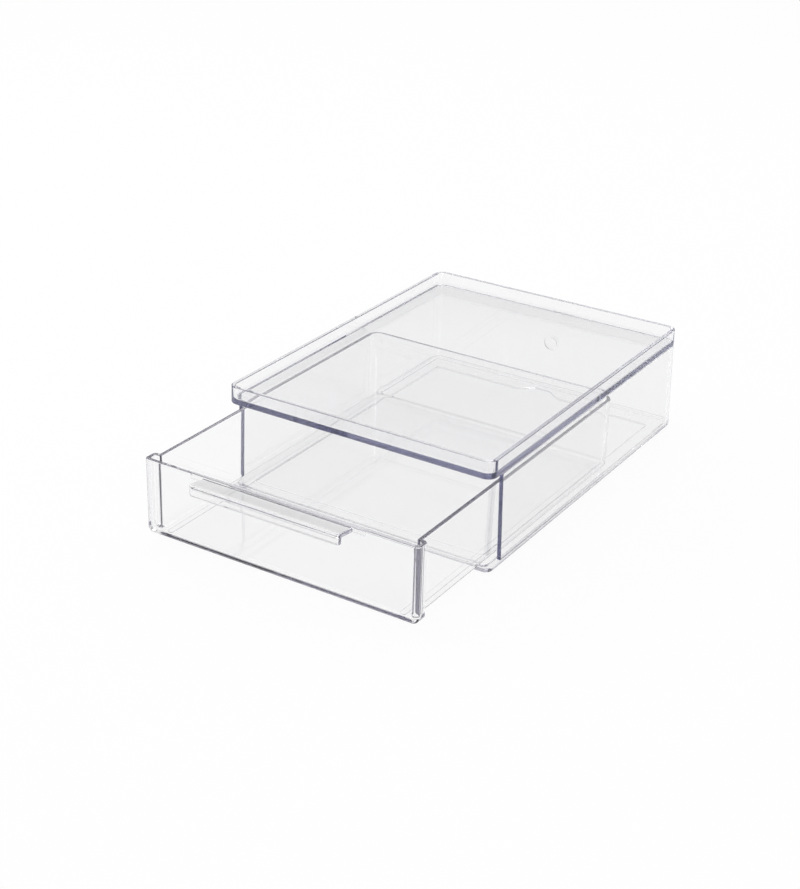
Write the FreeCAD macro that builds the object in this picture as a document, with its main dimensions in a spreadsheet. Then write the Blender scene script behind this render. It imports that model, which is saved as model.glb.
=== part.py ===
import FreeCAD, Part
import math
import os
import Sketcher
from FreeCAD import Vector

# Stackable drawer box: a clear moulded case with one drawer.
# Frame: X across, Y from front to back, Z up, millimetres. The origin is on the surface that the box
# stands on, under the middle of the whole box with its drawer pulled out as far as `pulled_out`.

doc = FreeCAD.newDocument("stackable_drawer_box")

# The driving dimensions, each with what it measures.
SIZES = (
    ("case_width", 165.1, "outer width of the rim round the top"),
    ("case_depth", 222.0, "outer depth of the rim round the top"),
    ("case_height", 63.5, "from the foot's underside to the top of the rim"),
    ("bond_line", 0.05, "film of cement between two bonded pieces"),
    ("overrun", 4.0, "how far a cut runs past the piece that it cuts"),
    ("tray_height", 10.1, "top tray, underside to the top of its rim"),
    ("panel_thickness", 2.6, "the tray's panel"),
    ("rim_thickness", 2.4, "the rim at its top"),
    ("tray_corner", 5.9, "plan radius of the tray's corners"),
    ("tray_spread", 0.16, "how much wider the tray is at its foot, on each side"),
    ("recess_draft", 0.25, "how much narrower the recess is at its floor, on each side"),
    ("rim_edge", 0.35, "rounding of the rim's top edges"),
    ("tray_foot_edge", 0.9, "rounding of the tray's lower outer edge"),
    ("recess_fillet", 0.8, "fillet between the recess floor and the rim"),
    ("walls_proud", 0.35, "how far the walls' tops stand out from under the rim, at the sides and back"),
    ("wall_thickness", 2.3, "the case walls"),
    ("wall_flare", 1.2, "how far each wall leans out from its top to its foot"),
    ("wall_setback", 10.8, "from the rim's front back to the walls' front edges"),
    ("wall_corner", 7.2, "plan radius of the walls' back corners"),
    ("wall_edge", 0.6, "rounding of the walls' front edges"),
    ("mark_diameter", 10.0, "round moulding mark in the middle of the back wall"),
    ("mark_height", 28.0, "from the base plate's top to the middle of the mark"),
    ("mark_depth", 0.5, "depth of the mark"),
    ("mark_land", 1.5, "width of the mark's ring"),
    ("base_thickness", 2.6, "the base plate, without its foot ring"),
    ("base_reach", 1.4, "how far the base plate stands in front of the rim"),
    ("base_corner", 4.5, "plan radius of the base plate's front corners"),
    ("base_edge", 0.8, "rounding of the base plate's edges"),
    ("foot_height", 1.5, "height of the foot ring"),
    ("foot_clearance", 0.5, "play of the foot ring in the rim of a box below"),
    ("foot_corner", 3.0, "plan radius of the foot ring's outer corners"),
    ("foot_edge", 0.4, "rounding of the foot ring's lower edges"),
    ("ring_side", 7.0, "width of the foot ring at the sides"),
    ("ring_front", 7.0, "width of the foot ring at the front"),
    ("ring_back", 10.6, "width of the foot ring at the back"),
    ("ring_corner", 3.0, "plan radius of the foot ring's inner corners"),
    ("bay_depth", 7.0, "depth of the bay in the back of the ring"),
    ("bay_top", 9.0, "width of the bay where it is deepest"),
    ("bay_mouth", 27.0, "width of the bay where it opens to the floor"),
    ("bay_radius", 3.0, "radius of the bay's corners"),
    ("side_clearance", 0.8, "play between the drawer and the case wall, on each side"),
    ("top_clearance", 5.7, "from the drawer's top edge to the tray"),
    ("runner_clearance", 0.15, "play between the runner ribs and the base plate"),
    ("rear_clearance", 6.9, "from the closed drawer's back to the back wall"),
    ("closed_gap", 0.5, "from the closed drawer's shoulders to the walls' front edges"),
    ("front_proud", 0.4, "how far the drawer's front section stands out past the walls' top, on each side"),
    ("front_depth", 8.6, "depth of the drawer's wide front section"),
    ("front_drop", 0.1, "how far the front section stands below the rest of the drawer"),
    ("front_lower_corner", 3.5, "radius of the front section's two lower corners, seen from the front"),
    ("front_round", 2.2, "rounding of the front face's sides and lower edge"),
    ("front_inner_corner", 1.7, "plan radius inside the front section's four corners"),
    ("shoulder_bevel", 1.5, "bevel of the shoulders behind the front section"),
    ("shoulder_corner", 1.6, "plan radius where the drawer's sides open into the front section"),
    ("drawer_wall", 2.2, "the drawer's walls"),
    ("drawer_floor", 2.0, "the drawer's floor"),
    ("drawer_corner", 7.0, "plan radius of the drawer's back corners"),
    ("drawer_foot_edge", 3.8, "rounding of the drawer's lower outer edge"),
    ("drawer_fillet", 1.4, "fillet between the drawer's floor and walls"),
    ("drawer_top_edge", 0.5, "rounding of the drawer's top edges"),
    ("runner_width", 3.4, "width of a runner rib"),
    ("runner_height", 0.45, "height of a runner rib"),
    ("runner_inset", 6.1, "from the drawer's side to the runner rib"),
    ("runner_front", 5.6, "from the drawer's front face to the ribs' front ends"),
    ("runner_back", 4.5, "from the ribs' back ends to the drawer's back face"),
    ("runner_edge", 0.15, "rounding of the ribs' lower edges"),
    ("notch_width", 106.0, "notch in the drawer's front for the pull"),
    ("notch_depth", 3.0, "depth of that notch"),
    ("pull_width", 91.2, "the pull's shelf, end to end"),
    ("pull_reach", 12.0, "how far the pull stands out from the drawer's front"),
    ("pull_rise", 1.5, "how much higher the shelf is at its front than at its root"),
    ("pull_thickness", 2.1, "the pull's shelf"),
    ("lip_thickness", 2.2, "the pull's downturned lip"),
    ("lip_height", 6.4, "from the shelf's front edge to the lip's lower edge"),
    ("pull_set_down", 0.8, "from the drawer's top edge down to the shelf's root"),
    ("pull_corner", 2.5, "plan radius of the shelf's front corners"),
    ("pull_round", 0.9, "rounding of the lip's edges"),
    ("pulled_out", 71.1, "how far the drawer is pulled out of its closed place"),
)

sheet = doc.addObject("Spreadsheet::Sheet", "Sizes")
for row, (alias, size, meaning) in enumerate(SIZES, start=1):
    sheet.set(f"A{row}", alias)
    sheet.set(f"B{row}", str(size))
    sheet.set(f"C{row}", meaning)
    sheet.setAlias(f"B{row}", alias)
doc.recompute()

# Levels and outlines that more than one piece shares, written in the sheet's cells.
BASE_TOP = "(Sizes.foot_height + Sizes.base_thickness)"
WALLS_FOOT = f"({BASE_TOP} + Sizes.bond_line)"
TRAY_FOOT = "(Sizes.case_height - Sizes.tray_height)"
WALLS_HEIGHT = f"({TRAY_FOOT} - Sizes.bond_line - {WALLS_FOOT})"
HALF_DEPTH = "(Sizes.case_depth / 2)"
WALLS_FRONT = f"({HALF_DEPTH} - Sizes.wall_setback)"
WALLS_BACK = f"({HALF_DEPTH} + Sizes.walls_proud)"
WALLS_WIDTH = "(Sizes.case_width + 2 * Sizes.walls_proud)"
WALLS_FOOT_WIDTH = f"({WALLS_WIDTH} + 2 * Sizes.wall_flare)"
WALLS_FOOT_BACK = f"({WALLS_BACK} + Sizes.wall_flare)"
BASE_FRONT = f"({HALF_DEPTH} + Sizes.base_reach)"
DRAWER_WIDTH = f"({WALLS_WIDTH} - 2 * Sizes.wall_thickness - 2 * Sizes.side_clearance)"
FRONT_WIDTH = f"({WALLS_WIDTH} + 2 * Sizes.front_proud)"
DRAWER_FRONT = f"({WALLS_FRONT} + Sizes.closed_gap + Sizes.front_depth)"
DRAWER_LENGTH = f"({DRAWER_FRONT} + {WALLS_BACK} - Sizes.wall_thickness - Sizes.rear_clearance)"
DRAWER_FOOT = f"({BASE_TOP} + Sizes.runner_clearance + Sizes.runner_height)"
DRAWER_HEIGHT = f"({TRAY_FOOT} - Sizes.top_clearance - {DRAWER_FOOT})"
DRAWER_SHIFT = f"({DRAWER_LENGTH} / 2 - {DRAWER_FRONT} - Sizes.pulled_out)"
BOX_FRONT = f"({DRAWER_FRONT} + Sizes.pulled_out + Sizes.pull_reach)"
CASE_SHIFT = f"(({BOX_FRONT} - {WALLS_FOOT_BACK}) / 2)"


def measure(expression):
    """The value of an expression of the sheet's cells."""
    return float(sheet.evalExpression(expression))


def new_body(label):
    body = doc.addObject("PartDesign::Body", label)
    body.Label = label
    return body


def place(body, across, along, up):
    """Puts a body where the expressions say."""
    for letter, expression in zip("xyz", (across, along, up)):
        if expression:
            body.setExpression(f"Placement.Base.{letter}", expression)


def new_sketch(body, name, role, height=None):
    """A sketch on one of the body's own origin planes, raised along the plane's normal."""
    sketch = body.newObject("Sketcher::SketchObject", name)
    plane = next(item for item in body.Origin.OriginFeatures if item.Role == role)
    sketch.AttachmentSupport = [(plane, "")]
    sketch.MapMode = "FlatFace"
    if height:
        sketch.setExpression("AttachmentOffset.Base.z", height)
    return sketch


def constrain(sketch, name, kind, places, expression):
    """A named dimension of a sketch, bound to an expression."""
    index = sketch.addConstraint(Sketcher.Constraint(kind, *places, measure(expression)))
    sketch.renameConstraint(index, name)
    sketch.setExpression(f"Constraints.{name}", expression)


def draw_rectangle(sketch, width, front, back, prefix=""):
    """Draws a rectangle centred across the sketch, from `front` before the origin to `back` behind it."""
    half, near, far = measure(f"{width} / 2"), measure(front), measure(back)
    corners = [Vector(-half, -near), Vector(half, -near), Vector(half, far), Vector(-half, far)]
    first = len(sketch.Geometry)
    for index, corner in enumerate(corners):
        sketch.addGeometry(Part.LineSegment(corner, corners[(index + 1) % 4]), False)
    for index in range(4):
        sketch.addConstraint(Sketcher.Constraint("Coincident", first + index, 2, first + (index + 1) % 4, 1))
    sketch.addConstraint(Sketcher.Constraint("Symmetric", first, 1, first, 2, -2))
    sketch.addConstraint(Sketcher.Constraint("Horizontal", first + 2))
    for index in (1, 3):
        sketch.addConstraint(Sketcher.Constraint("Vertical", first + index))
    constrain(sketch, prefix + "width", "DistanceX", (first, 1, first, 2), width)
    constrain(sketch, prefix + "front", "DistanceY", (first, 1, -1, 1), front)
    constrain(sketch, prefix + "back", "DistanceY", (-1, 1, first + 2, 1), back)


def rectangle(body, name, height, width, front, back):
    """A level rectangle of a body, as a sketch of its own."""
    sketch = new_sketch(body, name, "XY_Plane", height)
    draw_rectangle(sketch, width, front, back)
    return sketch


def draw_outline(sketch, points):
    """Draws a closed outline of straight lines through points whose places are two expressions each."""
    places = [Vector(measure(x), measure(y)) for x, y in points]
    first = len(sketch.Geometry)
    count = len(places)
    for index, spot in enumerate(places):
        sketch.addGeometry(Part.LineSegment(spot, places[(index + 1) % count]), False)
    for index in range(count):
        after = (index + 1) % count
        sketch.addConstraint(Sketcher.Constraint("Coincident", first + index, 2, first + after, 1))
    for index, (x, y) in enumerate(points):
        for axis, expression in (("X", x), ("Y", y)):
            name = f"{axis.lower()}{first + index}"
            if abs(measure(expression)) == 0:
                line = -2 if axis == "X" else -1
                sketch.addConstraint(Sketcher.Constraint("PointOnObject", first + index, 1, line))
            elif measure(expression) > 0:
                constrain(sketch, name, f"Distance{axis}", (-1, 1, first + index, 1), expression)
            else:
                constrain(sketch, name, f"Distance{axis}", (first + index, 1, -1, 1), f"-({expression})")


def pad(body, name, sketch, length, down=False, both_ways=False):
    feature = body.newObject("PartDesign::Pad", name)
    feature.Profile = sketch
    feature.Reversed = down
    feature.Midplane = both_ways
    feature.setExpression("Length", length)
    doc.recompute()
    return feature


def loft(body, name, kind, lower, upper):
    """An AdditiveLoft or SubtractiveLoft with flat sides between two sketches."""
    feature = body.newObject(f"PartDesign::{kind}", name)
    feature.Profile = lower
    feature.Sections = [upper]
    feature.Ruled = True
    doc.recompute()
    return feature


def pocket(body, name, sketch, length, forwards=False, both_ways=False):
    """A cut that has to take something away."""
    before = body.Shape.Volume
    feature = body.newObject("PartDesign::Pocket", name)
    feature.Profile = sketch
    feature.Reversed = forwards
    feature.Midplane = both_ways
    feature.setExpression("Length", length)
    doc.recompute()
    if not feature.Shape.Volume < before:
        raise RuntimeError(f"{name} cuts nothing")
    return feature


def middle(edge):
    return edge.valueAt((edge.FirstParameter + edge.LastParameter) / 2)


def is_upright(edge):
    """Whether an edge runs up a wall, straight or with the wall's lean."""
    upright_share = 0.9
    ends = [vertex.Point for vertex in edge.Vertexes]
    return len(ends) == 2 and abs(ends[1].z - ends[0].z) > upright_share * (ends[1] - ends[0]).Length


def is_level(edge, height, reach):
    """Whether a whole edge lies within `reach` of a height of the body."""
    spots = [vertex.Point for vertex in edge.Vertexes] + [middle(edge)]
    return all(abs(spot.z - height) < reach for spot in spots)


def round_edges(body, name, radius, choose):
    """Rounds the edges of the body's last feature that `choose` picks."""
    base = body.Tip
    names = [f"Edge{number}" for number, edge in enumerate(base.Shape.Edges, start=1) if choose(edge)]
    if not names:
        raise RuntimeError(f"{name} finds no edge")
    feature = body.newObject("PartDesign::Fillet", name)
    feature.Base = (base, names)
    feature.setExpression("Radius", radius)
    doc.recompute()
    if feature.Shape.isNull():
        raise RuntimeError(f"{name} can't be rounded")
    return feature


# How near a place an edge has to lie to be picked for rounding, well under the smallest step.
reach = measure("Sizes.front_drop / 2")


def make_base_plate():
    """The plate that closes the case below, with the low ring that drops into a rim below it."""
    body = new_body("base_plate")
    plate = rectangle(body, "plate_outline", "Sizes.foot_height", WALLS_FOOT_WIDTH, BASE_FRONT,
                      WALLS_FOOT_BACK)
    pad(body, "plate", plate, "Sizes.base_thickness")
    round_edges(body, "front_corners", "Sizes.base_corner",
                lambda edge: is_upright(edge) and middle(edge).y < 0)
    round_edges(body, "back_corners", "Sizes.wall_corner",
                lambda edge: is_upright(edge) and middle(edge).y > measure(HALF_DEPTH) - reach)
    underside = measure("Sizes.foot_height")
    round_edges(body, "plate_edge", "Sizes.base_edge", lambda edge: is_level(edge, underside, reach))

    foot_half_width = "(Sizes.case_width / 2 - Sizes.rim_thickness - Sizes.foot_clearance)"
    foot_half_depth = f"({HALF_DEPTH} - Sizes.rim_thickness - Sizes.foot_clearance)"
    side = f"({foot_half_width} - Sizes.ring_side)"
    front = f"({foot_half_depth} - Sizes.ring_front)"
    back = f"({foot_half_depth} - Sizes.ring_back)"
    bay_back = f"({back} + Sizes.bay_depth)"
    ring = new_sketch(body, "ring_outline", "XY_Plane")
    draw_rectangle(ring, f"(2 * {foot_half_width})", foot_half_depth, foot_half_depth)
    draw_outline(ring, (
        (f"-{side}", f"-{front}"),
        (side, f"-{front}"),
        (side, back),
        ("Sizes.bay_mouth / 2", back),
        ("Sizes.bay_top / 2", bay_back),
        ("-Sizes.bay_top / 2", bay_back),
        ("-Sizes.bay_mouth / 2", back),
        (f"-{side}", back),
    ))
    pad(body, "foot_ring", ring, "Sizes.foot_height")

    def in_ring(edge):
        return is_upright(edge) and middle(edge).z < underside

    outer = measure(foot_half_width)
    inner = measure(side)
    round_edges(body, "ring_outer_corners", "Sizes.foot_corner",
                lambda edge: in_ring(edge) and abs(middle(edge).x) > outer - reach)
    round_edges(body, "ring_inner_corners", "Sizes.ring_corner",
                lambda edge: in_ring(edge) and abs(abs(middle(edge).x) - inner) < reach)
    bay_edge = measure("Sizes.bay_mouth / 2")
    round_edges(body, "bay_corners", "Sizes.bay_radius",
                lambda edge: in_ring(edge) and abs(middle(edge).x) < bay_edge + reach)
    round_edges(body, "ring_edges", "Sizes.foot_edge", lambda edge: is_level(edge, 0, reach))
    place(body, None, CASE_SHIFT, None)
    return body


def make_case_walls():
    """The two sides and the back in one moulding, open at the front, leaning out towards the foot."""
    body = new_body("case_walls")
    lower = rectangle(body, "foot_outline", None, WALLS_FOOT_WIDTH, WALLS_FRONT, WALLS_FOOT_BACK)
    upper = rectangle(body, "top_outline", WALLS_HEIGHT, WALLS_WIDTH, WALLS_FRONT, WALLS_BACK)
    loft(body, "outside", "AdditiveLoft", lower, upper)
    open_front = f"({WALLS_FRONT} + Sizes.overrun)"
    rise = f"(Sizes.wall_flare / {WALLS_HEIGHT} * Sizes.overrun)"
    inside_lower = rectangle(body, "inside_foot_outline", "-Sizes.overrun",
                             f"({WALLS_FOOT_WIDTH} - 2 * Sizes.wall_thickness + 2 * {rise})", open_front,
                             f"({WALLS_FOOT_BACK} - Sizes.wall_thickness + {rise})")
    inside_upper = rectangle(body, "inside_top_outline", f"{WALLS_HEIGHT} + Sizes.overrun",
                             f"({WALLS_WIDTH} - 2 * Sizes.wall_thickness - 2 * {rise})", open_front,
                             f"({WALLS_BACK} - Sizes.wall_thickness - {rise})")
    loft(body, "inside", "SubtractiveLoft", inside_lower, inside_upper)
    half_wall = measure("Sizes.wall_thickness / 2")
    inner_back = measure(f"{WALLS_BACK} + Sizes.wall_flare / 2 - Sizes.wall_thickness")

    def is_back_corner(edge, inner):
        spot = middle(edge)
        return is_upright(edge) and spot.y > 0 and (abs(spot.y - inner_back) < half_wall) == inner

    round_edges(body, "inner_back_corners", "Sizes.wall_corner - Sizes.wall_thickness",
                lambda edge: is_back_corner(edge, True))
    round_edges(body, "outer_back_corners", "Sizes.wall_corner",
                lambda edge: is_back_corner(edge, False) and middle(edge).y > inner_back)
    front_edge = -measure(WALLS_FRONT)
    round_edges(body, "front_edges", "Sizes.wall_edge",
                lambda edge: is_upright(edge) and abs(middle(edge).y - front_edge) < reach)

    share_up = f"(Sizes.mark_height / {WALLS_HEIGHT})"
    mark_face = f"({WALLS_FOOT_BACK} - Sizes.wall_flare * {share_up})"
    mark = new_sketch(body, "mark_outline", "XZ_Plane", f"-{mark_face} - Sizes.overrun")
    for name, radius in (("outer", "Sizes.mark_diameter / 2"),
                         ("inner", "Sizes.mark_diameter / 2 - Sizes.mark_land")):
        centre = Vector(0, measure("Sizes.mark_height"))
        index = mark.addGeometry(Part.Circle(centre, Vector(0, 0, 1), measure(radius)), False)
        mark.addConstraint(Sketcher.Constraint("PointOnObject", index, 3, -2))
        constrain(mark, f"{name}_height", "DistanceY", (-1, 1, index, 3), "Sizes.mark_height")
        constrain(mark, f"{name}_radius", "Radius", (index,), radius)
    pocket(body, "mark", mark, "Sizes.overrun + Sizes.mark_depth", forwards=True)
    place(body, None, CASE_SHIFT, WALLS_FOOT)
    return body


def make_top_tray():
    """The panel that closes the case above, with the rim that makes a tray of it."""
    body = new_body("top_tray")
    foot_half_depth = f"({HALF_DEPTH} + Sizes.tray_spread)"
    lower = rectangle(body, "foot_outline", None, "(Sizes.case_width + 2 * Sizes.tray_spread)",
                      foot_half_depth, foot_half_depth)
    upper = rectangle(body, "rim_outline", "Sizes.tray_height", "Sizes.case_width", HALF_DEPTH, HALF_DEPTH)
    loft(body, "block", "AdditiveLoft", lower, upper)
    recess_depth = "(Sizes.tray_height - Sizes.panel_thickness)"
    narrowing = f"(Sizes.recess_draft / {recess_depth} * Sizes.overrun)"
    floor_half = f"({HALF_DEPTH} - Sizes.rim_thickness - Sizes.recess_draft)"
    mouth_half = f"({HALF_DEPTH} - Sizes.rim_thickness + {narrowing})"
    floor_width = "(Sizes.case_width - 2 * Sizes.rim_thickness - 2 * Sizes.recess_draft)"
    mouth_width = f"(Sizes.case_width - 2 * Sizes.rim_thickness + 2 * {narrowing})"
    recess_floor = rectangle(body, "recess_floor", "Sizes.panel_thickness", floor_width,
                             floor_half, floor_half)
    recess_mouth = rectangle(body, "recess_mouth", "Sizes.tray_height + Sizes.overrun", mouth_width,
                             mouth_half, mouth_half)
    loft(body, "recess", "SubtractiveLoft", recess_floor, recess_mouth)
    rim_middle = measure("Sizes.case_width / 2 - Sizes.rim_thickness / 2")
    round_edges(body, "inner_corners", "Sizes.tray_corner - Sizes.rim_thickness",
                lambda edge: is_upright(edge) and abs(middle(edge).x) < rim_middle)
    round_edges(body, "outer_corners", "Sizes.tray_corner",
                lambda edge: is_upright(edge) and abs(middle(edge).x) > rim_middle)
    panel_top = measure("Sizes.panel_thickness")
    round_edges(body, "recess_fillet", "Sizes.recess_fillet", lambda edge: is_level(edge, panel_top, reach))
    rim_top = measure("Sizes.tray_height")
    round_edges(body, "rim_edges", "Sizes.rim_edge", lambda edge: is_level(edge, rim_top, reach))
    round_edges(body, "foot_edge", "Sizes.tray_foot_edge", lambda edge: is_level(edge, 0, reach))
    place(body, None, CASE_SHIFT, TRAY_FOOT)
    return body


def make_drawer_tub():
    """The drawer: an open tub with a wider front section, whose shoulders stop against the case walls,
    with a notch for the pull and two runner ribs."""
    body = new_body("drawer_tub")
    half = f"({DRAWER_LENGTH} / 2)"
    tub_front = f"({half} - Sizes.drawer_wall)"
    shoulder_line = f"(Sizes.front_depth - {half})"
    bevel_line = f"({shoulder_line} - Sizes.shoulder_bevel)"
    front_face, back_face = -measure(half), measure(half)
    inner_front = -measure(tub_front)
    wall = measure("Sizes.drawer_wall")
    shoulder = measure(shoulder_line)
    front_half = measure(f"{FRONT_WIDTH} / 2")
    tub_half = measure(f"{DRAWER_WIDTH} / 2")
    front_foot = -measure("Sizes.front_drop")

    def stands_at(edge, across, along):
        spot = middle(edge)
        return is_upright(edge) and abs(abs(spot.x) - across) < reach and abs(spot.y - along) < reach

    outside = rectangle(body, "tub_outline", None, DRAWER_WIDTH, tub_front, half)
    pad(body, "tub", outside, DRAWER_HEIGHT)
    round_edges(body, "back_corners", "Sizes.drawer_corner",
                lambda edge: stands_at(edge, tub_half, back_face))
    inside_width = f"({DRAWER_WIDTH} - 2 * Sizes.drawer_wall)"
    inside = rectangle(body, "tub_inside", "Sizes.drawer_floor", inside_width, tub_front,
                       f"({half} - Sizes.drawer_wall)")
    pocket(body, "tub_space", inside, DRAWER_HEIGHT, forwards=True)
    round_edges(body, "back_inner_corners", "Sizes.drawer_corner - Sizes.drawer_wall",
                lambda edge: stands_at(edge, tub_half - wall, back_face - wall))
    round_edges(body, "foot_edge", "Sizes.drawer_foot_edge",
                lambda edge: is_level(edge, 0, reach) and middle(edge).y > inner_front + reach)

    front = new_sketch(body, "front_outline", "XY_Plane", "-Sizes.front_drop")
    front_side = f"({FRONT_WIDTH} / 2)"
    back_side = f"({FRONT_WIDTH} / 2 - Sizes.shoulder_bevel)"
    draw_outline(front, (
        (f"-{front_side}", f"-{half}"),
        (front_side, f"-{half}"),
        (front_side, bevel_line),
        (back_side, shoulder_line),
        (f"-{back_side}", shoulder_line),
        (f"-{front_side}", bevel_line),
    ))
    pad(body, "front_section", front, f"{DRAWER_HEIGHT} + Sizes.front_drop")

    def is_front_side_edge(edge):
        spot = middle(edge)
        return abs(abs(spot.x) - front_half) < reach and is_level(edge, front_foot, reach)

    round_edges(body, "front_lower_corners", "Sizes.front_lower_corner", is_front_side_edge)
    drawer_top = measure(DRAWER_HEIGHT)

    def borders_front(edge):
        spots = [vertex.Point for vertex in edge.Vertexes] + [middle(edge)]
        in_face = all(abs(spot.y - front_face) < reach for spot in spots)
        return in_face and middle(edge).z < drawer_top - reach

    round_edges(body, "front_border", "Sizes.front_round", borders_front)

    front_inside = rectangle(body, "front_inside", "Sizes.drawer_floor",
                             f"({FRONT_WIDTH} - 2 * Sizes.drawer_wall)", tub_front,
                             f"({shoulder_line} - Sizes.drawer_wall)")
    pocket(body, "front_space", front_inside, DRAWER_HEIGHT, forwards=True)
    passage = rectangle(body, "passage_outline", "Sizes.drawer_floor", inside_width, tub_front,
                        f"({shoulder_line} + Sizes.overrun)")
    pocket(body, "passage", passage, DRAWER_HEIGHT, forwards=True)
    round_edges(body, "front_inner_corners", "Sizes.front_inner_corner",
                lambda edge: stands_at(edge, front_half - wall, inner_front)
                or stands_at(edge, front_half - wall, shoulder - wall))
    round_edges(body, "inner_shoulders", "Sizes.shoulder_corner",
                lambda edge: stands_at(edge, tub_half - wall, shoulder - wall))
    floor_top = measure("Sizes.drawer_floor")
    round_edges(body, "floor_fillet", "Sizes.drawer_fillet", lambda edge: is_level(edge, floor_top, reach))
    round_edges(body, "top_edges", "Sizes.drawer_top_edge", lambda edge: is_level(edge, drawer_top, reach))

    notch = new_sketch(body, "notch_outline", "XY_Plane", f"{DRAWER_HEIGHT} - Sizes.notch_depth")
    draw_rectangle(notch, "Sizes.notch_width", f"({half} + Sizes.overrun)", shoulder_line)
    pocket(body, "notch", notch, "Sizes.notch_depth + Sizes.overrun", forwards=True)

    ribs = new_sketch(body, "rib_outlines", "XY_Plane")
    rib_middle = f"({DRAWER_WIDTH} / 2 - Sizes.runner_inset - Sizes.runner_width / 2)"
    rib_front = f"({half} - Sizes.runner_front - Sizes.runner_width / 2)"
    rib_back = f"({half} - Sizes.runner_back - Sizes.runner_width / 2)"
    for side in (-1, 1):
        draw_rib(ribs, side, rib_middle, rib_front, rib_back)
    pad(body, "runner_ribs", ribs, "Sizes.runner_height", down=True)
    rib_foot = -measure("Sizes.runner_height")
    round_edges(body, "rib_edges", "Sizes.runner_edge", lambda edge: is_level(edge, rib_foot, reach))
    place(body, None, f"{CASE_SHIFT} + {DRAWER_SHIFT}", DRAWER_FOOT)
    return body


def draw_rib(sketch, side, across, front, back):
    """Draws one runner rib, straight with round ends, on the left (-1) or right (1)."""
    x, near, far = side * measure(across), -measure(front), measure(back)
    radius = measure("Sizes.runner_width / 2")
    up = Vector(0, 0, 1)
    first = len(sketch.Geometry)
    sketch.addGeometry(Part.ArcOfCircle(Part.Circle(Vector(x, near), up, radius), math.pi, 0), False)
    sketch.addGeometry(Part.LineSegment(Vector(x + radius, near), Vector(x + radius, far)), False)
    sketch.addGeometry(Part.ArcOfCircle(Part.Circle(Vector(x, far), up, radius), 0, math.pi), False)
    sketch.addGeometry(Part.LineSegment(Vector(x - radius, far), Vector(x - radius, near)), False)
    for index, start in ((0, 2), (1, 2), (2, 2), (3, 2)):
        after = (index + 1) % 4
        sketch.addConstraint(Sketcher.Constraint("Tangent", first + index, start, first + after, 1))
    sketch.addConstraint(Sketcher.Constraint("Vertical", first + 1))
    tag = "left" if side < 0 else "right"
    constrain(sketch, f"{tag}_radius", "Radius", (first,), "Sizes.runner_width / 2")
    ends = (first, 3, -1, 1) if side < 0 else (-1, 1, first, 3)
    constrain(sketch, f"{tag}_across", "DistanceX", ends, across)
    constrain(sketch, f"{tag}_front", "DistanceY", (first, 3, -1, 1), front)
    constrain(sketch, f"{tag}_back", "DistanceY", (-1, 1, first + 2, 3), back)


def make_drawer_pull():
    """The pull: a strip that fills the notch, a shelf before it and a lip turned down from the shelf."""
    body = new_body("drawer_pull")
    strip = new_sketch(body, "strip_profile", "YZ_Plane")
    draw_outline(strip, (
        ("0", "Sizes.bond_line - Sizes.notch_depth"),
        ("Sizes.drawer_wall", "Sizes.bond_line - Sizes.notch_depth"),
        ("Sizes.drawer_wall", "0"),
        ("0", "0"),
    ))
    pad(body, "strip", strip, "Sizes.notch_width - 2 * Sizes.bond_line", both_ways=True)
    shelf = new_sketch(body, "shelf_profile", "YZ_Plane")
    front_top = "(Sizes.pull_rise - Sizes.pull_set_down)"
    lip_foot = f"({front_top} - Sizes.lip_height)"
    lip_back = "(Sizes.lip_thickness - Sizes.pull_reach)"
    slope = "(Sizes.pull_rise / Sizes.pull_reach)"
    inner_level = f"({front_top} - Sizes.pull_thickness - Sizes.lip_thickness * {slope})"
    draw_outline(shelf, (
        ("0", "-Sizes.pull_set_down"),
        ("-Sizes.pull_reach", front_top),
        ("-Sizes.pull_reach", lip_foot),
        (lip_back, lip_foot),
        (lip_back, inner_level),
        ("0", "-Sizes.pull_set_down - Sizes.pull_thickness"),
    ))
    pad(body, "shelf", shelf, "Sizes.pull_width", both_ways=True)
    tip = -measure("Sizes.pull_reach")
    lip_level = measure(lip_foot)

    def is_outer_corner(edge):
        return is_upright(edge) and abs(middle(edge).y - tip) < reach

    def is_inner_corner(edge):
        spot = middle(edge)
        return abs(spot.x) < reach and abs(spot.z - measure(inner_level)) < reach and spot.y < tip / 2

    def is_lip_edge(edge):
        spot = middle(edge)
        along = abs(spot.x) < reach and abs(spot.y - tip) < reach
        return along or abs(spot.z - lip_level) < reach

    round_edges(body, "shelf_corners", "Sizes.pull_corner", is_outer_corner)
    round_edges(body, "inner_corner", "Sizes.pull_round", is_inner_corner)
    round_edges(body, "lip_edges", "Sizes.pull_round", is_lip_edge)
    place(body, None, f"{CASE_SHIFT} + {DRAWER_SHIFT} - {DRAWER_LENGTH} / 2",
          f"{DRAWER_FOOT} + {DRAWER_HEIGHT}")
    return body


pieces = [make_base_plate(), make_case_walls(), make_top_tray(), make_drawer_tub(), make_drawer_pull()]
doc.recompute()

for item in doc.Objects:
    if "Invalid" in item.State or "Error" in item.State:
        raise RuntimeError(f"{item.Label} failed: {item.State}")
for body in pieces:
    if body.Shape.isNull() or not body.Shape.isValid() or len(body.Shape.Solids) != 1:
        raise RuntimeError(f"{body.Label} has no valid single solid")

os.makedirs("parts", exist_ok=True)
for body in pieces:
    body.Shape.exportStep(f"parts/{body.Label}.step")
    box = body.Shape.BoundBox
    print(f"{body.Label}: {box.XLength:.2f} x {box.YLength:.2f} x {box.ZLength:.2f} mm, "
          f"from y {box.YMin:.2f} and z {box.ZMin:.2f}, volume {body.Shape.Volume / 1000:.2f} cm3")
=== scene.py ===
# %% [markdown]
# # A stackable drawer box in clear plastic
#
# The object is a low box for small craft parts: a tray-shaped top on three walls and a plate, with
# one wide drawer that slides out at the front. Everything is the same clear, stiff, slightly
# violet plastic, moulded in a few pieces that are bonded together. The solids already have the
# right shapes, so this lesson is about making clear plastic look right: the bulk, the skin, the
# room that it mirrors and the light that it bends.

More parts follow.
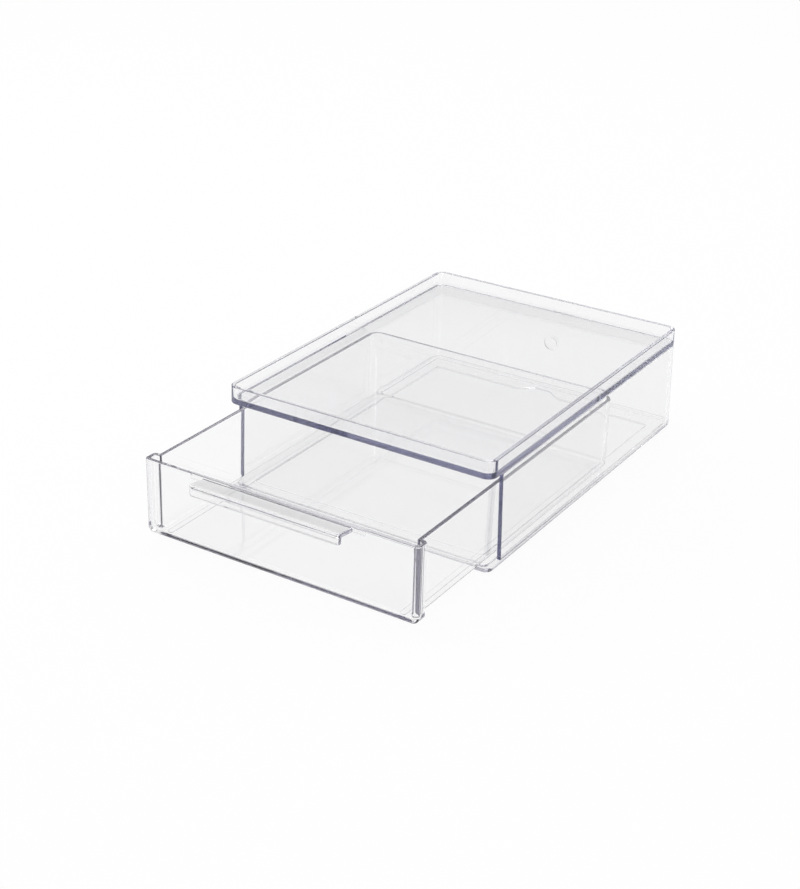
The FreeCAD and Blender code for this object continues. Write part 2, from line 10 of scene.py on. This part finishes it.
# %% Load the frame
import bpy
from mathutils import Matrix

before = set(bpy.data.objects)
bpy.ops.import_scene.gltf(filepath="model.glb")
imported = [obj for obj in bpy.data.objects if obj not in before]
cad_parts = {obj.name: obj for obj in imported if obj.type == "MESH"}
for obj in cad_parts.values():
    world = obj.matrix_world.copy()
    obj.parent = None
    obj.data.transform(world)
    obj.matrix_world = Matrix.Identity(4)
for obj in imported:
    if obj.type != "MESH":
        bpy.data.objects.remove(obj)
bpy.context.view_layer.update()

# %% Tools
import math

import bpy
from mathutils import Matrix, Vector

scene = bpy.context.scene
MM = 0.001

# %% [markdown]
# ## The camera
#
# The object is seen from the front right and from above. The camera could be placed by eye, but a
# box shows every degree of error along its long edges. Here its place and its three angles come
# from lines that were fitted to the object's long straight edges, and are written as numbers.

# %% Where the camera stands and looks
CAMERA_PLACE = Vector((452.68, -759.26, 450.23)) * MM
TURN, TILT, ROLL = (math.radians(a) for a in (31.668, 25.816, 1.591))

ahead = Vector((-math.sin(TURN) * math.cos(TILT), math.cos(TURN) * math.cos(TILT), -math.sin(TILT)))
level = Vector((math.cos(TURN), math.sin(TURN), 0.0))
upright = level.cross(ahead)
right = level * math.cos(ROLL) + upright * math.sin(ROLL)
up = upright * math.cos(ROLL) - level * math.sin(ROLL)
print("looking along", [round(v, 3) for v in ahead])

# %% The camera and its lens
FOCAL_PIXELS, LONG_SIDE_PIXELS, SENSOR = 1756.58, 889.0, 36.0
FARTHEST_SEEN = 50.0

camera = bpy.data.objects.new("camera", bpy.data.cameras.new("camera"))
scene.collection.objects.link(camera)
camera.matrix_world = Matrix.Translation(CAMERA_PLACE) @ Matrix((right, up, -ahead)).transposed().to_4x4()
camera.data.sensor_width = SENSOR
camera.data.lens = SENSOR * FOCAL_PIXELS / LONG_SIDE_PIXELS
camera.data.clip_end = FARTHEST_SEEN
scene.camera = camera
print("lens", round(camera.data.lens, 2), "mm")

# %% [markdown]
# ## Helpers for nodes
#
# A material is a small graph. Building it takes two steps that repeat: add a node with plain values
# in its sockets, and join two sockets. Short functions keep the later cells easy to read. A socket
# goes by its name, or by its number where two sockets of a node share a name.

# %% Add a node, join two sockets
def add_node(tree, kind, place, **values):
    """A node of the kind at the place, with sockets set by name; an underscore stands for a space."""
    node = tree.nodes.new(kind)
    node.location = place
    for name, value in values.items():
        node.inputs[name.replace("_", " ")].default_value = value
    return node


def join(tree, source, source_name, target, target_name):
    """A link from one socket to another."""
    tree.links.new(source.outputs[source_name], target.inputs[target_name])


def empty_material(name):
    """A new material with an empty graph, and the graph."""
    material = bpy.data.materials.new(name)
    material.use_nodes = True
    material.node_tree.nodes.clear()
    return material, material.node_tree


print("node helpers:", add_node.__name__, join.__name__, empty_material.__name__)

# %% [markdown]
# ## The polish of the mould
#
# A polished mould is never a perfect mirror. Its steel was stoned by hand, which leaves a slow
# waviness a few centimetres long and a few thousandths of a millimetre high. It could be cut into
# the mesh, but that would take a million faces, so it is a bump made of two noises, one four times
# as long as the other. The skin also has a very fine haze, here a third noise that drives the
# roughness from nothing to a small value.

# %% Waves and haze
LONG_WAVE, LONG_WAVE_HEIGHT = 4, 3
HAZE_SCALE = 900.0
HAZE_FROM, HAZE_TO = 0.35, 0.8


def polish_waves(tree, place, wave_size, wave_height):
    """The node whose normals carry the mould's waves, short and long, with sizes in metres."""
    long_size, long_height = wave_size * LONG_WAVE, wave_height * LONG_WAVE_HEIGHT
    short = add_node(tree, "ShaderNodeTexNoise", (-900, 200), Scale=1 / wave_size, Detail=1.0)
    long = add_node(tree, "ShaderNodeTexNoise", (-900, -50), Scale=1 / long_size, Detail=3.0)
    for noise in (short, long):
        join(tree, place, "Object", noise, "Vector")
    fast = add_node(tree, "ShaderNodeBump", (-500, 200), Distance=wave_height, Strength=1.0)
    join(tree, short, "Fac", fast, "Height")
    slow = add_node(tree, "ShaderNodeBump", (-300, 100), Distance=long_height, Strength=1.0)
    join(tree, long, "Fac", slow, "Height")
    join(tree, fast, "Normal", slow, "Normal")
    return slow


def polish_haze(tree, place, haze):
    """The node whose result is the skin's roughness, up to the haze."""
    grains = add_node(tree, "ShaderNodeTexNoise", (-900, -300), Scale=HAZE_SCALE, Detail=2.0)
    join(tree, place, "Object", grains, "Vector")
    rough = add_node(tree, "ShaderNodeMapRange", (-500, -300),
                     From_Min=HAZE_FROM, From_Max=HAZE_TO, To_Min=0.0, To_Max=haze)
    join(tree, grains, "Fac", rough, "Value")
    return rough


print("long waves are", LONG_WAVE, "times as long as the short ones")
print("grains of haze are", round(1 / HAZE_SCALE / MM, 2), "mm")

# %% [markdown]
# ## Clear plastic
#
# A clear moulding is a skin and a bulk. The skin mirrors and bends light: a Principled shader with
# full transmission and the index of a stiff clear plastic. The bulk takes a little light away on
# the way through, a little less of the blue, which is why thick edges look violet grey while the
# thin walls look clear. That is an absorption volume with a plain colour and density. A glass
# shader with a tinted colour would be simpler, but it would tint a thin wall as much as a thick
# edge.

# %% One clear moulding
INDEX = 1.57


def clear_plastic(name, tint, density, painted_shade_grey, wave_size, wave_height, haze):
    """A clear moulding: density per metre of its bulk, painted shade and haze of its skin, waves in mm.
    """
    material, tree = empty_material(name)
    place = add_node(tree, "ShaderNodeTexCoord", (-1200, 0))
    waves = polish_waves(tree, place, wave_size * MM, wave_height * MM)
    rough = polish_haze(tree, place, haze)
    skin = add_node(tree, "ShaderNodeBsdfPrincipled", (0, 100), IOR=INDEX)
    # The skin's grey is a painted shade: below 1 it darkens all light through the moulding, standing in
    # for grey shading.
    skin.inputs["Base Color"].default_value = (painted_shade_grey, painted_shade_grey, painted_shade_grey, 1.0)
    skin.inputs["Transmission Weight"].default_value = 1.0
    join(tree, rough, "Result", skin, "Roughness")
    join(tree, waves, "Normal", skin, "Normal")
    bulk = add_node(tree, "ShaderNodeVolumeAbsorption", (0, -500), Density=density)
    bulk.inputs["Color"].default_value = (*tint, 1.0)
    out = add_node(tree, "ShaderNodeOutputMaterial", (300, 0))
    join(tree, skin, "BSDF", out, "Surface")
    join(tree, bulk, "Volume", out, "Volume")
    return material


print("index of the plastic:", INDEX)

# %% [markdown]
# ## One finish for each moulding
#
# All the mouldings are of one plastic, but each has its own mould and its own polish.
#
# - The base plate is flat and thick. Its edge is seen on the table and stays pale, so its bulk is
#   the clearest.
# - The walls guide light from edge to edge, through 20 cm of plastic. A low density keeps those
#   edges violet grey, where a higher one would turn them black. Their faces have the highest waves.
# - The tray's panel edge is the deepest colour of the whole box, a violet band under the rim.
# - The drawer is a more neutral smoke grey, darkest in the upright bands at its two front corners.
# - The pull is the drawer's plastic in a smaller mould, with shorter waves.
#
# One shared material would be less work, but then the band under the rim and the pale plate below
# couldn't both be right.

# %% Assign the finishes
VIOLET = (0.50, 0.505, 0.65)
SMOKE = (0.50, 0.485, 0.58)

# Of each piece: the name of its finish, tint, density, the skin's grey as painted shade, length and
# height of waves, haze.
FINISHES = {
    "base_plate": ("plate plastic", SMOKE, 4.0, 0.97, 30.0, 0.004, 0.06),
    "case_walls": ("wall plastic", VIOLET, 6.5, 0.95, 28.0, 0.010, 0.03),
    "top_tray": ("tray plastic", VIOLET, 13.0, 0.98, 32.0, 0.005, 0.03),
    "drawer_tub": ("drawer plastic", SMOKE, 13.0, 0.99, 30.0, 0.007, 0.03),
    "drawer_pull": ("pull plastic", SMOKE, 10.0, 0.97, 20.0, 0.004, 0.03),
}
for node_name, finish in FINISHES.items():
    material = clear_plastic(*finish)
    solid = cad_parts[node_name]
    solid.data.materials.clear()
    solid.data.materials.append(material)
    print(node_name, "->", material.name)

# %% [markdown]
# ## The white table
#
# Clear plastic is only seen by what it mirrors and bends, so the table matters as much as the
# material. It is white paper, and it stays white to the camera and in the plastic: most of it is a
# plain glow for those rays, and a small share is real matt paper that takes the lamps' light and
# the box's shadow. A bright lamp could make the paper white too, but it would also burn out the
# box.

# %% Which rays see the glow
SHADOW_SHARE = 0.05


def math_node(tree, operation, place):
    """A node that works on two numbers."""
    node = add_node(tree, "ShaderNodeMath", place)
    node.operation = operation
    return node


def glow_share(tree):
    """The node whose value is the glow's share: nearly all for the rays that show it, else none."""
    rays = add_node(tree, "ShaderNodeLightPath", (-900, 200))
    seen = math_node(tree, "MAXIMUM", (-700, 200))
    join(tree, rays, "Is Camera Ray", seen, 0)
    join(tree, rays, "Is Glossy Ray", seen, 1)
    shown = math_node(tree, "MAXIMUM", (-500, 200))
    join(tree, seen, "Value", shown, 0)
    join(tree, rays, "Is Transmission Ray", shown, 1)
    share = math_node(tree, "MULTIPLY", (-300, 200))
    share.inputs[1].default_value = 1 - SHADOW_SHARE
    join(tree, shown, "Value", share, 0)
    return share


print("share of the paper that takes shadows:", SHADOW_SHARE)

# %% Paper
PAPER_FIBRES = 400.0
PAPER_DARKEST, PAPER_LIGHTEST = 0.9, 0.96


def white_paper():
    """Matt paper with fine fibres, under a plain white glow for the rays that show it."""
    material, tree = empty_material("white paper")
    fibres = add_node(tree, "ShaderNodeTexNoise", (-700, -100), Scale=PAPER_FIBRES, Detail=4.0)
    shade = add_node(tree, "ShaderNodeMapRange", (-500, -100),
                     To_Min=PAPER_DARKEST, To_Max=PAPER_LIGHTEST)
    join(tree, fibres, "Fac", shade, "Value")
    matt = add_node(tree, "ShaderNodeBsdfDiffuse", (-300, -100))
    join(tree, shade, "Result", matt, "Color")
    glow = add_node(tree, "ShaderNodeEmission", (-300, -300), Strength=1.0)
    mix = add_node(tree, "ShaderNodeMixShader", (0, 0))
    join(tree, glow_share(tree), "Value", mix, "Fac")
    join(tree, matt, "BSDF", mix, 1)
    join(tree, glow, "Emission", mix, 2)
    out = add_node(tree, "ShaderNodeOutputMaterial", (300, 0))
    join(tree, mix, "Shader", out, "Surface")
    return material


print("paper greys from", PAPER_DARKEST, "to", PAPER_LIGHTEST)

# %% The table
TABLE_HALF = 4.0
TABLE_DROP = 0.3 * MM
CORNERS = ((-1, -1), (1, -1), (1, 1), (-1, 1))

table_mesh = bpy.data.meshes.new("table")
table_spots = [(x * TABLE_HALF, y * TABLE_HALF, -TABLE_DROP) for x, y in CORNERS]
table_mesh.from_pydata(table_spots, [], [(0, 1, 2, 3)])
table_mesh.materials.append(white_paper())
table = bpy.data.objects.new("table", table_mesh)
scene.collection.objects.link(table)
print("table:", 2 * TABLE_HALF, "m square")

# %% [markdown]
# ## The room
#
# The room is what the plastic mirrors above the table. It has bands of grey by height, which is 0
# at the horizon and 1 straight up. The object's level sheets, such as the tray's panel, all mirror
# one height of it to the camera, about 0.43, and that height is pale, so that the sheets stay
# clear. Below it is a grey band and above it a dark one, which the rounded edges pick up as thin
# grey lines. A photographed room could do the same, but plain bands are easier to move to where
# the plastic needs them.

# %% Greys by height
ROOM = ((0.0, 1.0), (0.08, 0.35), (0.28, 0.35), (0.38, 0.86),
        (0.50, 0.86), (0.60, 0.12), (0.84, 0.12), (1.0, 0.70))

world = bpy.data.worlds.new("studio")
scene.world = world
world.use_nodes = True
tree = world.node_tree
tree.nodes.clear()
way = add_node(tree, "ShaderNodeTexCoord", (-1100, 0))
split = add_node(tree, "ShaderNodeSeparateXYZ", (-900, 0))
join(tree, way, "Generated", split, "Vector")
heights = add_node(tree, "ShaderNodeValToRGB", (-700, 0))
join(tree, split, "Z", heights, "Fac")
ramp = heights.color_ramp
# A new ramp has two stops. The others are added at its end and then moved.
while len(ramp.elements) < len(ROOM):
    ramp.elements.new(1.0)
for element, (height, grey) in zip(ramp.elements, ROOM):
    element.position = height
    element.color = (grey, grey, grey, 1.0)
print("room greys by height:", ROOM)

# %% White behind the table
# The mix node has sockets of one name for numbers and for colours, so they go by number here.
MIX_FACTOR, MIX_FIRST, MIX_SECOND, MIX_COLOUR = 0, 6, 7, 2

rays = add_node(tree, "ShaderNodeLightPath", (-700, 300))
choose = add_node(tree, "ShaderNodeMix", (-400, 100))
choose.data_type = "RGBA"
choose.inputs[MIX_SECOND].default_value = (1.0, 1.0, 1.0, 1.0)
join(tree, rays, "Is Camera Ray", choose, MIX_FACTOR)
join(tree, heights, "Color", choose, MIX_FIRST)
sky = add_node(tree, "ShaderNodeBackground", (-200, 100), Strength=1.0)
join(tree, choose, MIX_COLOUR, sky, "Color")
out = add_node(tree, "ShaderNodeOutputWorld", (0, 100))
join(tree, sky, "Background", out, "Surface")
print("world nodes:", len(tree.nodes))

# %% [markdown]
# ## Soft boxes
#
# Three square soft lights stand round the box: a wide one overhead and a smaller one on each side,
# for white lines on the rims and the pull. The wide one is little brighter than the paper, because
# the panel, the drawer's floor and the plate all mirror it to somebody who looks from above, and a
# small, bright one would wash them out there. Bare lamps would give hard dots. The camera doesn't
# see the lights themselves.

# %% Three lights
AIM = Vector((0.0, 0.03, 0.03))

# Of each light: its name, place and side in metres, and power in watts.
SOFT_BOXES = (
    ("overhead box", (-0.3, 0.5, 1.6), 2.0, 18.0),
    ("left box", (-1.5, -0.5, 0.9), 0.7, 8.0),
    ("right box", (1.3, -1.2, 1.1), 0.6, 6.0),
)
for name, place, size, power in SOFT_BOXES:
    lamp = bpy.data.lights.new(name, "AREA")
    lamp.shape, lamp.size, lamp.energy = "SQUARE", size, power
    stand = bpy.data.objects.new(name, lamp)
    stand.location = place
    stand.rotation_euler = (AIM - Vector(place)).to_track_quat("-Z", "Y").to_euler()
    stand.visible_camera = False
    scene.collection.objects.link(stand)
    print(name, "at", place, "power", power)

# %% [markdown]
# ## Light paths
#
# A ray from the camera to the table passes a dozen skins: rim, panel, walls, drawer and plate. A
# ray that enters the edge of a wall is worse: it runs along inside the sheet and is mirrored from
# face to face many dozen times, and each time counts as a glossy bounce. With the usual limits
# those edges turn black, so the limits are raised far. The view transform is the plain one, so
# that a colour renders as it is written.

# %% View and bounces
scene.view_settings.view_transform = "Standard"
scene.cycles.max_bounces = 200
scene.cycles.glossy_bounces = 180
scene.cycles.transmission_bounces = 64
scene.cycles.transparent_max_bounces = 64
print("bounces", scene.cycles.max_bounces, "of them glossy", scene.cycles.glossy_bounces)
